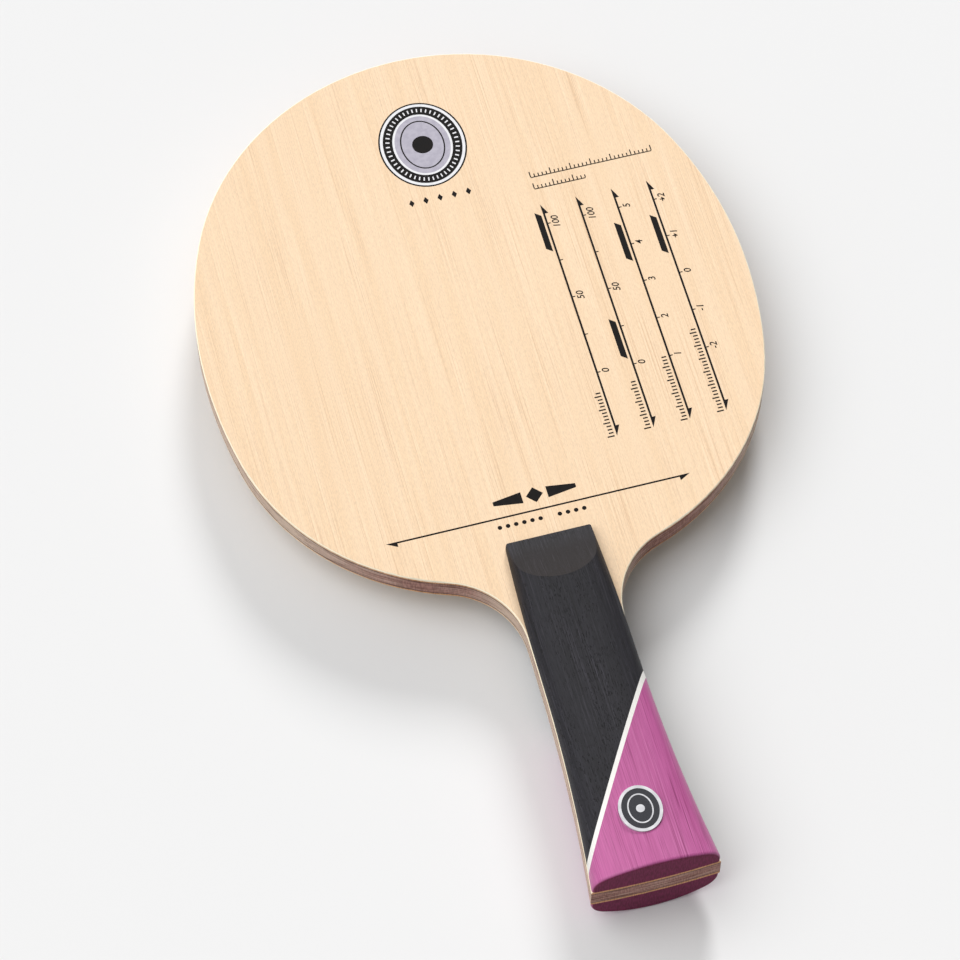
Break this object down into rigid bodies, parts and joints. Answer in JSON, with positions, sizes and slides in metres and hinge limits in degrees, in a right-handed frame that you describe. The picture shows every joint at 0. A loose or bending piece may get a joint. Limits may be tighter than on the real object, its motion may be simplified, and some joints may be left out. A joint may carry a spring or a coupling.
{
  "type": "table tennis blade",
  "caption": "Bare table tennis blade: a rounded plywood head with a neck and a flared handle of glued wooden scales, with a diagonal strip and a small oval badge.",
  "frame": {"origin": "under the middle of the length and width, level with the rear handle scale's crest, which the blade rests on", "axes": "+Z along the front playing face's normal, +Y along the length from the butt to the tip, +X to the right seen from the front with the tip up"},
  "size_m": [0.15, 0.2574, 0.0259],
  "materials": {
    "face_wood": "fine sanded pale softwood, unlacquered",
    "carbon_veneer": "dark woven fibre in glue, cut edge",
    "core_wood": "brown-grey core wood, cut and sanded edge",
    "dark_wood": "black dyed open-pored wood, satin",
    "white_veneer": "white dyed veneer, satin",
    "pink_wood": "magenta dyed wood with dark fine grain, satin",
    "badge_metal": "polished die-struck metal",
    "badge_enamel": "dark enamel fill, glossy",
    "ink": "matt black screen-printed ink"
  },
  "bodies": {
    "root": {"front_face_ply": "face_wood", "front_carbon_ply": "carbon_veneer", "core_ply": "core_wood", "rear_carbon_ply": "carbon_veneer", "rear_face_ply": "face_wood", "front_handle_dark_block": "dark_wood", "front_handle_white_strip": "white_veneer", "front_handle_pink_wedge": "pink_wood", "rear_handle_dark_block": "dark_wood", "rear_handle_white_strip": "white_veneer", "rear_handle_pink_wedge": "pink_wood", "badge_body": "badge_metal", "badge_enamel": "badge_enamel"}
  },
  "joints": []
}
